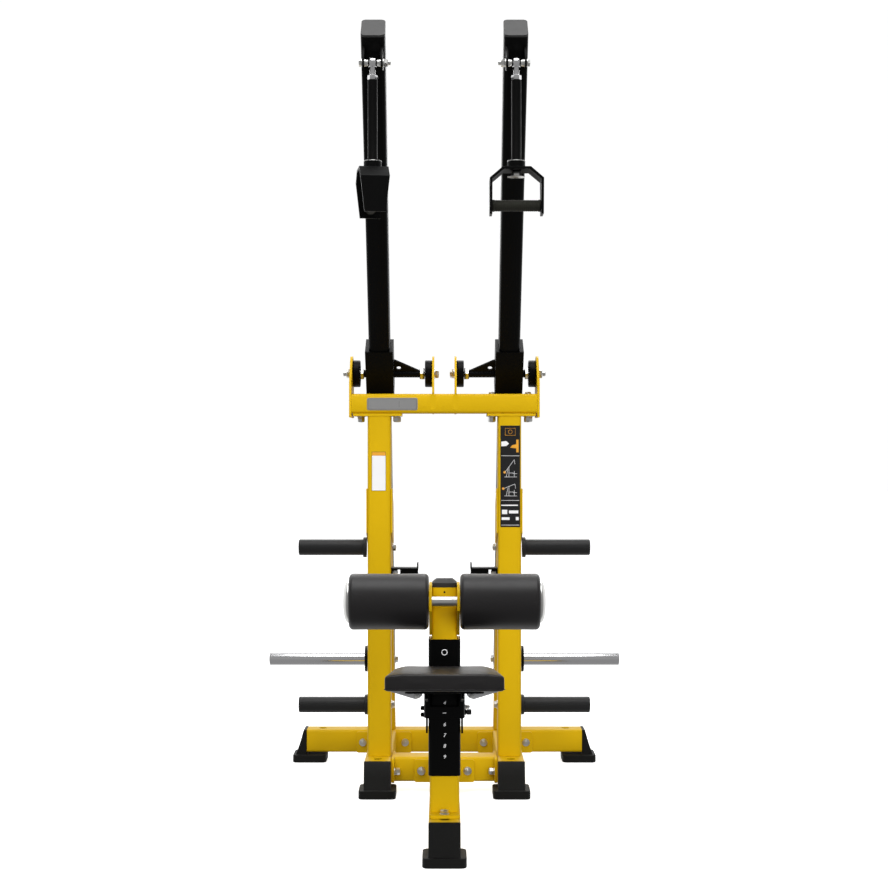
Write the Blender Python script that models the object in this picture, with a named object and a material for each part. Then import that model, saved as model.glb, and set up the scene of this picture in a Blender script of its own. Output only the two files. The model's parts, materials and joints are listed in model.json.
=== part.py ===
"""Plate-loaded lat pulldown machine with two independent arms.

Metres, +Z up. The seat side faces -Y and the origin is on the floor, under the centre of the whole machine.
"""
import math

import bmesh
import bpy
from mathutils import Matrix, Vector
from mathutils.geometry import tessellate_polygon

# Driving dimensions
FRONT = -0.8626              # front edge of the front foot
GAP = 0.0003                 # clearance between parts that touch
RAIL = 0.080                 # floor rails, square
RAIL_LOW = 0.025
RAIL_TOP = 0.105
WALL = 0.004
FLANGE_HEIGHT = 0.068        # bolted plates at the rails' ends

FOOT_LENGTH = 0.110
FOOT_PAD = 0.0247
FOOT_INSET = 0.045           # a rail ends this far behind its foot's front edge

FLOOR_HOLE_R = 0.013

CROSS_FRONT_Y = FRONT + 0.896
CROSS_REAR_Y = FRONT + 1.368
CROSS_REAR_DEPTH = 0.075
CROSS_REAR_HALF = 0.4515
SIDE_X = 0.198
SIDE_FRONT_Y = FRONT + 0.788

UPRIGHT_X = 0.196
UPRIGHT_WIDTH = 0.070
UPRIGHT_DEPTH = 0.100
UPRIGHT_Y = FRONT + 0.957
UPRIGHT_TOP = 1.127
FLANGE = 0.0077
GUSSET = 0.0043
BEAM_LOW = 1.135
BEAM_TOP = 1.194
BEAM_DEPTH = 0.075
BEAM_HALF = 0.279
BEAM_Y = FRONT + 0.9445

PIVOT_Y = FRONT + 1.000
PIVOT_Z = 1.258
LEAN = math.radians(40.3)    # the arms' lean from vertical, towards the seat
ARM_X = 0.196                # at the pivot
ARM_TOE = 0.0085             # the arms close by this much of their length towards the top
ARM_WIDTH = 0.063
ARM_DEPTH = 0.090
ARM_FRONT = 1.138            # pivot to the upper end
ARM_REAR = 1.338             # pivot to the lower end
CHEEK = 0.0105
HORN_ALONG = 1.2845          # pivot to the weight horn's axis
SHAFT_R = 0.0095
PIVOT_TUBE_R = 0.0117
BEARING = 0.022              # thickness of a bearing housing
CROWN_R = 0.0535             # round top of the pivot plates
HORN_ROOT = 0.283
HORN_TIP = 0.622
HORN_R = 0.025

CLEVIS_ALONG = 1.0846
CLEVIS_X = ARM_X - ARM_TOE * CLEVIS_ALONG
CLEVIS_DROP = 0.0807         # bolt's distance from the arm's centre line
EAR_OUT = 0.027              # outer faces of the clevis ears, from their middle
ROD_TOP = -0.0445            # hanger rod's upper end, from the clevis bolt
ROD_R = 0.0128
HUB_DROP = 0.255             # clevis bolt down to the swivel hub's top
HUB_HEIGHT = 0.019
HUB_R = 0.0225
HANDLE_HALF = 0.070
HANDLE_HEIGHT = 0.121
SHOULDER_DROP = 0.029
SHOULDER_RUN = 0.034
STRAP = 0.007
GRIP_DROP = 0.097
GRIP_R = 0.015
LEFT_HANDLE_TURN = math.radians(-82.0)

STORAGE_Z = (0.730, 0.253)
STORAGE_TIP = 0.441
STORAGE_R = 0.024

COLUMN = 0.075
COLUMN_Y = FRONT + 0.1545
COLUMN_TOP = 0.550
SLEEVE = 0.081
SLEEVE_LOW = 0.205
POST = 0.064
POST_TOP = 0.680
POST_EAR = 0.0385            # outer face of the roller plates on the post
ROLLER_Y = FRONT + 0.077
ROLLER_Z = 0.649
ROLLER_R = 0.070
ROLLER_IN = 0.0392
ROLLER_OUT = 0.238
AXLE_R = 0.0125

SEAT_NEAR_Y = FRONT - 0.172
SEAT_LENGTH = 0.280
SEAT_HALF = 0.1425
SEAT_THICK = 0.040
SEAT_FLAT = 0.104            # half width of the pad's flat middle
SEAT_FALL = 0.005            # drop of its side facets
SEAT_NEAR_Z = 0.501
SEAT_TILT = math.radians(-3.5)
CARRIAGE = 0.103
CARRIAGE_LOW = 0.3525
CARRIAGE_TOP = 0.432
SKIRT_LOW = 0.313
PIN_Z = 0.3605
PIN_R = 0.0035

SIDES = (("left", -1.0), ("right", 1.0))
ROUND = 24                   # sides of a round piece


def clear_scene():
    for item in list(bpy.data.objects):
        bpy.data.objects.remove(item, do_unlink=True)


def material(name, color, roughness, metallic=0.0):
    mat = bpy.data.materials.new(name)
    mat.use_nodes = True
    shader = mat.node_tree.nodes["Principled BSDF"]
    shader.inputs["Base Color"].default_value = (*color, 1.0)
    shader.inputs["Roughness"].default_value = roughness
    shader.inputs["Metallic"].default_value = metallic
    return mat


YELLOW = ("yellow_paint", (0.66, 0.40, 0.006), 0.35, 0.0)
BLACK = ("black_paint", (0.006, 0.006, 0.006), 0.35, 0.0)
RUBBER = ("foot_rubber", (0.012, 0.012, 0.013), 0.6, 0.0)
VINYL = ("vinyl", (0.013, 0.012, 0.013), 0.45, 0.0)
GRIP = ("grip_rubber", (0.02, 0.02, 0.015), 0.7, 0.0)
PLASTIC = ("cap_plastic", (0.05, 0.05, 0.05), 0.5, 0.0)
CHROME = ("chrome", (0.8, 0.8, 0.8), 0.1, 1.0)
ZINC = ("zinc", (0.7, 0.7, 0.68), 0.3, 1.0)


def make(name, shape):
    """Make one object of a (vertices, faces) shape, with its faces pointing out."""
    mesh = bpy.data.meshes.new(name)
    mesh.from_pydata([tuple(v) for v in shape[0]], [], shape[1])
    work = bmesh.new()
    work.from_mesh(mesh)
    bmesh.ops.recalc_face_normals(work, faces=work.faces)
    work.to_mesh(mesh)
    work.free()
    obj = bpy.data.objects.new(name, mesh)
    bpy.context.scene.collection.objects.link(obj)
    return obj


def add(name, shape, finish):
    """Make one finished part of the machine."""
    obj = make(name, shape)
    obj.data.shade_smooth()
    obj.data.set_sharp_from_angle(angle=math.radians(35.0))
    obj.data.materials.append(material(name + "_" + finish[0], *finish[1:]))
    return obj


def combine(operation, pieces):
    """Join or cut the first shape by the others, and give the result as one shape."""
    base = make("base", pieces[0])
    tools = [make("tool", shape) for shape in pieces[1:]]
    for tool in tools:
        step = base.modifiers.new("step", "BOOLEAN")
        step.operation = operation
        step.solver = "EXACT"
        step.object = tool
    graph = bpy.context.evaluated_depsgraph_get()
    result = bpy.data.meshes.new_from_object(base.evaluated_get(graph))
    verts = [v.co.copy() for v in result.vertices]
    faces = [tuple(p.vertices) for p in result.polygons]
    for item in tools + [base]:
        bpy.data.objects.remove(item, do_unlink=True)
    return verts, faces


def moved(shape, matrix):
    return [matrix @ Vector(v) for v in shape[0]], shape[1]


def circle(radius, centre=(0.0, 0.0), count=ROUND):
    turns = [2.0 * math.pi * i / count for i in range(count)]
    return [(centre[0] + radius * math.cos(a), centre[1] + radius * math.sin(a)) for a in turns]


def rounded(width, height, radius, centre=(0.0, 0.0), steps=2):
    """Outline of a rectangle with round corners."""
    points = []
    for corner, (sx, sy) in enumerate(((1, 1), (-1, 1), (-1, -1), (1, -1))):
        cx = centre[0] + sx * (width / 2 - radius)
        cy = centre[1] + sy * (height / 2 - radius)
        for i in range(steps + 1):
            a = math.pi / 2 * (corner + i / steps)
            points.append((cx + radius * math.cos(a), cy + radius * math.sin(a)))
    return points


def prism(outline, low, high, axis="Z", holes=()):
    """Extrude an outline with holes. The outline lies in XY, XZ or YZ for axis Z, Y or X."""
    place = {
        "X": lambda u, v, w: Vector((w, u, v)),
        "Y": lambda u, v, w: Vector((u, w, v)),
        "Z": lambda u, v, w: Vector((u, v, w)),
    }[axis]
    loops = [list(outline)] + [list(h) for h in holes]
    flat = [p for loop in loops for p in loop]
    count = len(flat)
    verts = [place(u, v, low) for u, v in flat] + [place(u, v, high) for u, v in flat]
    triangles = tessellate_polygon([[Vector((u, v, 0.0)) for u, v in loop] for loop in loops])
    faces = [tuple(t) for t in triangles] + [tuple(i + count for i in reversed(t)) for t in triangles]
    start = 0
    for loop in loops:
        for i in range(len(loop)):
            a = start + i
            b = start + (i + 1) % len(loop)
            faces.append((a, b, b + count, a + count))
        start += len(loop)
    return verts, faces


def lofted(rings):
    """Close a stack of rings of equal count into one solid."""
    count = len(rings[0])
    verts = [v for ring in rings for v in ring]
    faces = [tuple(range(count)), tuple(range(len(verts) - count, len(verts)))]
    for low in range(0, len(verts) - count, count):
        for i in range(count):
            j = (i + 1) % count
            faces.append((low + i, low + j, low + count + j, low + count + i))
    return verts, faces


def box(x, y, z):
    return prism([(x[0], y[0]), (x[1], y[0]), (x[1], y[1]), (x[0], y[1])], z[0], z[1])


def tube(start, end, side, width, depth, start_normal=None, end_normal=None, wall=WALL, radius=0.008):
    """Hollow rectangular tube between two points, each end cut square or along a given plane."""
    start = Vector(start)
    end = Vector(end)
    along = (end - start).normalized()
    side = Vector(side)
    up = along.cross(side).normalized()
    rings = []
    for point, normal in ((start, start_normal), (end, end_normal)):
        normal = Vector(normal) if normal else along
        for inset in (0.0, wall):
            outline = rounded(width - 2 * inset, depth - 2 * inset, radius - inset * 0.8)
            ring = []
            for u, v in outline:
                offset = side * u + up * v
                ring.append(point + offset - along * (offset.dot(normal) / along.dot(normal)))
            rings.append(ring)
    outer_a, inner_a, outer_b, inner_b = rings
    n = len(outer_a)
    verts = outer_a + inner_a + outer_b + inner_b
    faces = []
    for i in range(n):
        j = (i + 1) % n
        faces.append((i, j, 2 * n + j, 2 * n + i))
        faces.append((n + j, n + i, 3 * n + i, 3 * n + j))
        faces.append((j, i, n + i, n + j))
        faces.append((2 * n + i, 2 * n + j, 3 * n + j, 3 * n + i))
    return verts, faces


def turned(profile, centre, axis="X", sign=1.0, count=ROUND, ring=False):
    """Turn (along, radius) points about an axis. A ring's profile closes on itself round a bore."""
    centre = Vector(centre)
    frames = {"X": ((1, 0, 0), (0, 1, 0), (0, 0, 1)), "Z": ((0, 0, 1), (1, 0, 0), (0, 1, 0))}
    main, first, second = (Vector(v) for v in frames[axis])
    verts = []
    rows = []
    for along, radius in profile:
        if radius == 0.0:
            rows.append([len(verts)] * count)
            verts.append(centre + main * along * sign)
            continue
        rows.append(list(range(len(verts), len(verts) + count)))
        for i in range(count):
            a = 2.0 * math.pi * i / count
            round_part = first * math.cos(a) + second * math.sin(a)
            verts.append(centre + main * along * sign + round_part * radius)
    faces = []
    pairs = list(zip(rows, rows[1:])) + ([(rows[-1], rows[0])] if ring else [])
    for low, high in pairs:
        for i in range(count):
            j = (i + 1) % count
            face = [low[i], low[j], high[j], high[i]]
            unique = list(dict.fromkeys(face))
            if len(unique) > 2:
                faces.append(tuple(unique))
    if not ring:
        for row, end in ((rows[0], 0), (rows[-1], -1)):
            if profile[end][1] > 0.0:
                faces.append(tuple(row))
    return verts, faces


def build_foot(name, position, turn):
    """Rubber foot with a wide pad and a wedge that closes the tube's end."""
    pad = prism(rounded(0.110, FOOT_LENGTH, 0.014, (0.0, FOOT_LENGTH / 2), 3), 0.0, FOOT_PAD)
    wedge_side = [
        (0.008, FOOT_PAD - 0.004), (0.022, 0.060), (0.034, 0.102), (0.037, RAIL_TOP),
        (FOOT_INSET - GAP, RAIL_TOP), (FOOT_INSET - GAP, FOOT_PAD - 0.004),
    ]
    wedge = prism(wedge_side, -0.040, 0.040, "X")
    place = Matrix.Translation(position) @ Matrix.Rotation(turn, 4, "Z")
    add(name, combine("UNION", [moved(pad, place), moved(wedge, place)]), RUBBER)


def build_feet():
    build_foot("front_foot", (0.0, FRONT, 0.0), 0.0)
    rear_y = CROSS_REAR_Y + CROSS_REAR_DEPTH / 2
    for side, sign in SIDES:
        build_foot(side + "_rail_foot", (sign * SIDE_X, SIDE_FRONT_Y, 0.0), 0.0)
        reach = CROSS_REAR_HALF + FOOT_INSET
        build_foot(side + "_rear_foot", (sign * reach, rear_y, 0.0), sign * math.pi / 2)


def floor_hole(x, y):
    """Cutter for the hole in a rail's top wall, over the floor bolt."""
    return prism(circle(FLOOR_HOLE_R, (x, y), 16), RAIL_TOP - 0.010, RAIL_TOP + 0.010)


def bolted_rail(x, start_y, end_y, hole_y):
    """Floor rail along Y with a bolting flange on its far end and a floor bolt's hole near its start."""
    middle = (RAIL_LOW + RAIL_TOP) / 2
    rail = tube((x, start_y, middle), (x, end_y - 0.004, middle), (1, 0, 0), RAIL, RAIL)
    window = rounded(0.060, 0.058, 0.006, (x, middle))
    outline = rounded(0.180, FLANGE_HEIGHT, 0.006, (x, middle))
    plate = prism(outline, end_y - 0.008, end_y, "Y", [window])
    joined = combine("UNION", [rail, plate])
    return combine("DIFFERENCE", [joined, floor_hole(x, hole_y)])


def build_rails():
    rail = bolted_rail(0.0, FRONT + FOOT_INSET, CROSS_FRONT_Y - GAP, FRONT + 0.076)
    add("center_rail", rail, YELLOW)
    for side, sign in SIDES:
        start_y = SIDE_FRONT_Y + FOOT_INSET
        rail = bolted_rail(sign * SIDE_X, start_y, CROSS_REAR_Y - GAP, SIDE_FRONT_Y + 0.082)
        add(side + "_side_rail", rail, YELLOW)


def build_crossbars():
    low = 0.031
    middle = (low + RAIL_TOP) / 2
    height = RAIL_TOP - low
    half = SIDE_X - RAIL / 2 - GAP
    y = CROSS_FRONT_Y + RAIL / 2
    bar = tube((-half + 0.004, y, middle), (half - 0.004, y, middle), (0, 1, 0), RAIL, height)
    window = rounded(0.060, 0.052, 0.006, (y, middle))
    outline = rounded(0.130, height, 0.006, (y, middle))
    ends = []
    for side, sign in SIDES:
        span = sorted((sign * (half - 0.008), sign * half))
        ends.append(prism(outline, span[0], span[1], "X", [window]))
    add("front_crossbar", combine("UNION", [bar] + ends), YELLOW)

    y = CROSS_REAR_Y + CROSS_REAR_DEPTH / 2
    start = (-CROSS_REAR_HALF, y, middle)
    end = (CROSS_REAR_HALF, y, middle)
    bar = tube(start, end, (0, 1, 0), CROSS_REAR_DEPTH, height)
    holes = [floor_hole(sign * 0.400, y) for side, sign in SIDES]
    add("rear_crossbar", combine("DIFFERENCE", [bar] + holes), YELLOW)


def build_uprights():
    for side, sign in SIDES:
        x = sign * UPRIGHT_X
        foot = (x, UPRIGHT_Y, RAIL_TOP + GAP)
        head = (x, UPRIGHT_Y, UPRIGHT_TOP + 0.004)
        post = tube(foot, head, (1, 0, 0), UPRIGHT_WIDTH, UPRIGHT_DEPTH)
        window = rounded(0.054, 0.080, 0.006, (x, UPRIGHT_Y))
        outline = rounded(0.147, 0.104, 0.004, (sign * 0.2015, UPRIGHT_Y))
        flange = prism(outline, UPRIGHT_TOP, UPRIGHT_TOP + FLANGE, "Z", [window])
        add(side + "_upright", combine("UNION", [post, flange]), YELLOW)


def build_braces():
    """Diagonal brace from each upright's back to the rear crossbar's top, with gussets at its upper end."""
    width = UPRIGHT_WIDTH
    front = UPRIGHT_Y - UPRIGHT_DEPTH / 2
    back = UPRIGHT_Y + UPRIGHT_DEPTH / 2
    outline = [
        (front + 0.006, 0.776), (back + 0.050, 0.715), (back + 0.080, 0.715), (back + 0.040, 0.860),
        (UPRIGHT_Y + 0.010, 0.908), (front + 0.006, 0.908),
    ]
    for side, sign in SIDES:
        x = sign * UPRIGHT_X
        top = (x, back + GAP, 0.820)
        foot = (x, CROSS_REAR_Y + CROSS_REAR_DEPTH / 2, RAIL_TOP + GAP)
        bar = tube(top, foot, (1, 0, 0), width, 0.060, (0, 1, 0), (0, 0, 1))
        gussets = []
        for edge in (-1, 1):
            span = sorted((x + edge * (width / 2 + GAP), x + edge * (width / 2 + GUSSET)))
            gussets.append(prism(outline, span[0], span[1], "X"))
        tie_x = (x - width / 2 - 0.003, x + width / 2 + 0.003)
        tie = box(tie_x, (back + 0.030, back + 0.040), (0.750, 0.760))
        add(side + "_rear_brace", combine("UNION", [bar, tie] + gussets), YELLOW)


def pivot_plate_outline(low):
    """Side view of a pivot plate: straight below, round about the pivot above."""
    back = PIVOT_Y + 0.0555
    front = BEAM_Y - BEAM_DEPTH / 2 - 0.001
    turns = [math.radians(-20 + 20 * i) for i in range(9)]
    crown = [(PIVOT_Y + CROWN_R * math.cos(a), PIVOT_Z + CROWN_R * math.sin(a)) for a in turns]
    top = crown + [(front, PIVOT_Z - 0.030)]
    if low < BEAM_TOP:
        return [(front, low), (back, low)] + top
    notch = BEAM_Y + BEAM_DEPTH / 2 + 0.001
    return [(front, low), (notch, low), (notch, BEAM_LOW), (back, BEAM_LOW)] + top


def build_beam():
    middle = (BEAM_LOW + BEAM_TOP) / 2
    height = BEAM_TOP - BEAM_LOW
    beam = tube((-BEAM_HALF, BEAM_Y, middle), (BEAM_HALF, BEAM_Y, middle), (0, 1, 0), BEAM_DEPTH, height)
    add("top_crossbeam", beam, YELLOW)
    bore = circle(SHAFT_R + 0.0006, (PIVOT_Y, PIVOT_Z))
    for side, sign in SIDES:
        for place, inner, outer, low in (
            ("outer", BEAM_HALF + GAP, BEAM_HALF + 0.0075, 1.123),
            ("inner", 0.0310, 0.0370, BEAM_TOP + GAP),
        ):
            span = sorted((sign * inner, sign * outer))
            plate = prism(pivot_plate_outline(low), span[0], span[1], "X", [bore])
            add(side + "_" + place + "_pivot_plate", plate, YELLOW)


def build_bearings():
    bore = SHAFT_R + 0.0006
    for side, sign in SIDES:
        for place, wall, way in (("outer", BEAM_HALF - GAP, -1.0), ("inner", 0.0370 + GAP, 1.0)):
            profile = [(0.0, bore), (0.0, 0.0395), (0.0015, 0.041), (BEARING - 0.0015, 0.041),
                       (BEARING, 0.0395), (BEARING, bore)]
            shape = turned(profile, (sign * wall, PIVOT_Y, PIVOT_Z), "X", sign * way, ring=True)
            add(side + "_" + place + "_bearing", shape, BLACK)


def arm_frame(sign):
    """Arm coordinates: the pivot at the origin, Z up along the arm and -Y under it."""
    return Matrix.Translation((sign * ARM_X, PIVOT_Y, PIVOT_Z)) @ Matrix.Rotation(LEAN, 4, "X")


def clevis_point():
    """World Y and Z of the clevis bolt at rest."""
    spot = arm_frame(1.0) @ Vector((0.0, -CLEVIS_DROP, CLEVIS_ALONG))
    return spot.y, spot.z


def build_pivot_box(sign):
    """Cheeks and front plate round the arm at its pivot, with the pivot tube and its web, as shapes."""
    half = ARM_WIDTH / 2
    wide = half + CHEEK
    front = -ARM_DEPTH / 2
    cheek = [(front - 0.004, -0.070), (0.045, -0.070), (0.045, 0.098), (front - 0.004, 0.118)]
    pieces = []
    for way in (-1, 1):
        span = sorted((way * (half - 0.001), way * wide))
        pieces.append(prism(cheek, span[0], span[1], "X"))
    pieces.append(box((-wide, wide), (front - 0.004, front + 0.001), (-0.070, 0.118)))
    span = sorted((-sign * (ARM_X - 0.0612), sign * (BEAM_HALF - 0.0240 - ARM_X)))
    pieces.append(prism(circle(PIVOT_TUBE_R), span[0], span[1], "X"))
    tip = ARM_X - 0.072
    web = [(-sign * (wide - 0.002), -0.004), (-sign * (wide - 0.002), 0.054), (-sign * (wide + 0.006), 0.052),
           (-sign * tip, 0.010), (-sign * tip, -0.004)]
    hole = circle(0.007, (-sign * 0.057, 0.0235), 12)
    pieces.append(prism(web, -0.003, 0.003, "Y", [hole]))
    return pieces


def build_arm(side, sign):
    half = ARM_WIDTH / 2
    low_end = (sign * ARM_TOE * ARM_REAR, 0.0, -ARM_REAR)
    top_end = (-sign * ARM_TOE * ARM_FRONT, 0.0, ARM_FRONT)
    pieces = [tube(low_end, top_end, (1, 0, 0), ARM_WIDTH, ARM_DEPTH, (0, 0, 1), (0, 0, 1), radius=0.010)]
    pieces += build_pivot_box(sign)
    root = -ARM_DEPTH / 2 + 0.003
    ear = [
        (root, CLEVIS_ALONG - 0.040), (root, CLEVIS_ALONG + 0.030),
        (-CLEVIS_DROP - 0.004, CLEVIS_ALONG + 0.020), (-CLEVIS_DROP - 0.020, CLEVIS_ALONG + 0.004),
        (-CLEVIS_DROP - 0.018, CLEVIS_ALONG - 0.014), (-CLEVIS_DROP, CLEVIS_ALONG - 0.022),
    ]
    hole = circle(0.0065, (-CLEVIS_DROP, CLEVIS_ALONG), 16)
    for way in (-1, 1):
        shift = sign * (CLEVIS_X - ARM_X)
        span = sorted((shift + way * (EAR_OUT - 0.0055), shift + way * EAR_OUT))
        pieces.append(prism(ear, span[0], span[1], "X", [hole]))
    root = half - 0.002 + ARM_TOE * HORN_ALONG
    flange = HORN_ROOT - 0.001 - ARM_X
    stub = [(root, 0.0), (root, 0.030), (flange - 0.008, 0.030), (flange - 0.008, 0.046),
            (flange, 0.046), (flange, 0.0)]
    pieces.append(turned(stub, (0, 0, -HORN_ALONG), "X", sign))
    shaft_bore = prism(circle(SHAFT_R + 0.0006), -0.5, 0.5, "X")
    arm = combine("DIFFERENCE", [combine("UNION", pieces), shaft_bore])
    add(side + "_arm", moved(arm, arm_frame(sign)), BLACK)

    middle = (top_end[0], 0.0)
    cap = prism(rounded(ARM_WIDTH, ARM_DEPTH, 0.010, middle), ARM_FRONT + GAP, ARM_FRONT + 0.007)
    inside = rounded(ARM_WIDTH - 0.011, ARM_DEPTH - 0.011, 0.004, middle)
    plug = prism(inside, ARM_FRONT - 0.020, ARM_FRONT + 0.002)
    add(side + "_arm_cap", moved(combine("UNION", [cap, plug]), arm_frame(sign)), PLASTIC)


def build_arm_fittings(side, sign):
    tip = SHAFT_R - 0.002
    shaft = [(0.0265, 0.0), (0.0265, tip), (0.0285, SHAFT_R), (0.2895, SHAFT_R), (0.2915, tip), (0.2915, 0.0)]
    add(side + "_pivot_shaft", turned(shaft, (0, PIVOT_Y, PIVOT_Z), "X", sign), ZINC)

    horn_centre = arm_frame(sign) @ Vector((0.0, 0.0, -HORN_ALONG))
    horn = [(HORN_ROOT - 0.0007, 0.0), (HORN_ROOT - 0.0007, HORN_R), (HORN_TIP - 0.006, HORN_R),
            (HORN_TIP - 0.002, HORN_R - 0.002), (HORN_TIP, HORN_R - 0.006), (HORN_TIP, 0.0)]
    add(side + "_weight_horn", turned(horn, (0, horn_centre.y, horn_centre.z), "X", sign), CHROME)

    y, z = clevis_point()
    reach = EAR_OUT + GAP
    bolt = [(-reach - 0.008, 0.0), (-reach - 0.008, 0.010), (-reach, 0.010), (-reach, 0.006), (reach, 0.006),
            (reach, 0.010), (reach + 0.012, 0.010), (reach + 0.012, 0.006), (reach + 0.021, 0.006),
            (reach + 0.021, 0.0)]
    add(side + "_clevis_bolt", turned(bolt, (sign * CLEVIS_X, y, z), "X", -sign, count=16), ZINC)


def build_hanger(side, sign):
    """Rod end with its eye on the clevis bolt, hanger rod, swivel hub and the hub's bolt and nut."""
    x = sign * CLEVIS_X
    y, z = clevis_point()
    eye = prism(circle(0.015, (y, z), 20), x - 0.010, x + 0.010, "X", [circle(0.0066, (y, z), 16)])
    neck = turned([(-0.036, 0.0), (-0.036, 0.0075), (-0.012, 0.0085), (-0.012, 0.0)], (x, y, z), "Z")
    nut = [(ROD_TOP + GAP, 0.0), (ROD_TOP + GAP, 0.0125), (-0.031, 0.0125), (-0.031, 0.0)]
    rod_end = combine("UNION", [eye, neck, turned(nut, (x, y, z), "Z", count=6)])
    add(side + "_rod_end", rod_end, CHROME)

    hub_top = -HUB_DROP
    hub_low = hub_top - HUB_HEIGHT
    nut_top = hub_low - STRAP - 0.0006
    rod = [(ROD_TOP, 0.0), (ROD_TOP, ROD_R), (hub_top, ROD_R), (hub_top - 0.002, HUB_R),
           (hub_low + 0.002, HUB_R), (hub_low, HUB_R - 0.002), (hub_low, 0.006), (nut_top, 0.006),
           (nut_top, 0.013), (nut_top - 0.0174, 0.013), (nut_top - 0.0174, 0.0)]
    add(side + "_hanger_rod", turned(rod, (x, y, z), "Z"), BLACK)


def build_handle(side, sign, turn):
    """Bent strap with its bar, and the rubber grip on the bar, swivelled about the hub's axis."""
    y, z = clevis_point()
    top = z - HUB_DROP - HUB_HEIGHT - GAP
    w = HANDLE_HALF
    h = HANDLE_HEIGHT
    drop = SHOULDER_DROP
    run = SHOULDER_RUN
    inner = w - STRAP
    outline = [
        (-w, -h), (-w, -drop), (-w + run, 0.0), (w - run, 0.0), (w, -drop), (w, -h),
        (inner, -h), (inner, -drop - 0.003), (inner - run + 0.004, -STRAP), (-inner + run - 0.004, -STRAP),
        (-inner, -drop - 0.003), (-inner, -h),
    ]
    verts, faces = prism(outline, -1.0, 1.0, "Y")
    for v in verts:
        low_part = min(1.0, max(0.0, (-v.z - drop) / (h - drop)))
        v.y *= 0.038 - 0.0105 * low_part
    bar = [(-w + 0.003, 0.0), (-w + 0.003, 0.008), (w - 0.003, 0.008), (w - 0.003, 0.0)]
    strap = combine("UNION", [(verts, faces), turned(bar, (0, 0, -GRIP_DROP), "X", count=16)])
    strap = combine("DIFFERENCE", [strap, prism(circle(0.0068, count=16), -0.020, 0.010)])
    place = Matrix.Translation((sign * CLEVIS_X, y, top)) @ Matrix.Rotation(turn, 4, "Z")
    add(side + "_handle", moved(strap, place), BLACK)

    reach = inner - 0.0005
    grip = [(-reach, 0.0088), (-reach, GRIP_R), (reach, GRIP_R), (reach, 0.0088)]
    shape = turned(grip, (0, 0, -GRIP_DROP), "X", ring=True)
    add(side + "_grip", moved(shape, place), GRIP)


def build_storage_horns():
    for side, sign in SIDES:
        face = UPRIGHT_X + UPRIGHT_WIDTH / 2 + GAP
        for level, z in zip(("upper", "lower"), STORAGE_Z):
            root = face + GUSSET + GAP if level == "upper" else face
            profile = [(root, 0.0), (root, 0.0305), (root + 0.010, 0.0305), (root + 0.010, STORAGE_R),
                       (STORAGE_TIP - 0.004, STORAGE_R), (STORAGE_TIP, STORAGE_R - 0.004), (STORAGE_TIP, 0.0)]
            shape = turned(profile, (0, UPRIGHT_Y, z), "X", sign)
            add(side + "_" + level + "_storage_horn", shape, BLACK)


def build_stop_brackets():
    """Small shelf with an upturned lip on each upright's inner side, with a block under it."""
    face = UPRIGHT_X - UPRIGHT_WIDTH / 2 - GAP
    tip = face - 0.082
    top = 0.669
    for side, sign in SIDES:
        outline = [(face, 0.645), (face, top), (tip + 0.004, top), (tip + 0.004, 0.684), (tip, 0.684),
                   (tip, 0.664), (face - 0.005, 0.664), (face - 0.005, 0.645)]
        shelf = prism([(sign * x, z) for x, z in outline], UPRIGHT_Y - 0.030, UPRIGHT_Y + 0.030, "Y")
        span = sorted((sign * (tip + 0.001), sign * (face - 0.027)))
        block = box(span, (UPRIGHT_Y - 0.026, UPRIGHT_Y + 0.026), (0.646, 0.666))
        add(side + "_stop_bracket", combine("UNION", [shelf, block]), BLACK)


def build_column():
    low = RAIL_TOP + GAP
    column = tube((0, COLUMN_Y, low + 0.004), (0, COLUMN_Y, COLUMN_TOP), (1, 0, 0), COLUMN, COLUMN)
    window = rounded(0.060, 0.060, 0.006, (0.0, COLUMN_Y))
    plate = prism(rounded(0.079, 0.150, 0.008, (0.0, COLUMN_Y)), low, low + 0.008, "Z", [window])
    add("seat_column", combine("UNION", [column, plate]), YELLOW)

    hole = rounded(COLUMN + 0.0006, COLUMN + 0.0006, 0.0083, (0.0, COLUMN_Y))
    sleeve = prism(rounded(SLEEVE, SLEEVE, 0.010, (0.0, COLUMN_Y)), SLEEVE_LOW, COLUMN_TOP, "Z", [hole])
    add("column_sleeve", sleeve, BLACK)

    post = tube((0, COLUMN_Y, 0.400), (0, COLUMN_Y, POST_TOP), (1, 0, 0), POST, POST, radius=0.007)
    pieces = [post]
    outline = [(COLUMN_Y + 0.025, 0.560), (COLUMN_Y + 0.025, 0.690), (ROLLER_Y - 0.004, 0.690),
               (ROLLER_Y - 0.024, 0.670), (ROLLER_Y - 0.024, 0.628), (COLUMN_Y - 0.030, 0.560)]
    hole = circle(AXLE_R + GAP, (ROLLER_Y, ROLLER_Z))
    for way in (-1, 1):
        span = sorted((way * 0.0317, way * POST_EAR))
        pieces.append(prism(outline, span[0], span[1], "X", [hole]))
    add("thigh_post", combine("UNION", pieces), YELLOW)

    rings = []
    for inset, z in ((0.0, POST_TOP + GAP), (0.0, POST_TOP + 0.0115), (0.010, POST_TOP + 0.0205)):
        wide = POST - 0.0014 - 2 * inset
        outline = rounded(wide, wide, 0.007, (0.0, COLUMN_Y))
        rings.append([Vector((x, y, z)) for x, y in outline])
    add("thigh_post_cap", lofted(rings), PLASTIC)


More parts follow.
